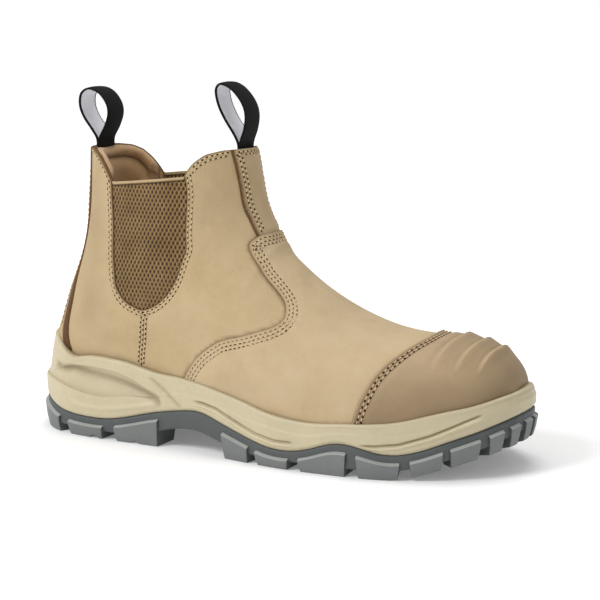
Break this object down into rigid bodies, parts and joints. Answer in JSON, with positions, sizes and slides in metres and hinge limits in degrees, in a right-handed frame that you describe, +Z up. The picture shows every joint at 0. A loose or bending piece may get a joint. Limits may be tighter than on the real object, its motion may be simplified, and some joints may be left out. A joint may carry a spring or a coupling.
{
  "type": "side gore work boot",
  "caption": "Right-foot pull-on ankle work boot: leather upper open at the collar, elastic side gores, ridged toe cap, two pull loops and a lugged cup sole.",
  "frame": {"origin": "middle of the boot's bounding box in plan, on the ground plane the sole stands on", "axes": "+X from heel to toe, +Y towards the inner side of a right foot, +Z up"},
  "size_m": [0.3042, 0.1146, 0.2066],
  "materials": {
    "outsole_rubber": "matte moulded rubber",
    "midsole_foam": "smooth moulded foam rubber",
    "nubuck": "matte nubuck",
    "insole_foam": "fabric over foam",
    "toe_rubber": "matte moulded rubber",
    "elastic": "woven elastic",
    "lining": "brushed lining",
    "webbing": "woven webbing"
  },
  "bodies": {
    "root": {"outsole": "outsole_rubber", "midsole": "midsole_foam", "upper": "nubuck", "insole": "insole_foam", "toe_cap": "toe_rubber", "front_strip": "nubuck", "back_strip": "nubuck", "gore_lateral": "elastic", "gore_medial": "elastic", "collar_lining_rear": "lining", "collar_lining_front": "lining", "pull_loop_rear": "webbing", "pull_loop_front": "webbing"}
  },
  "joints": []
}
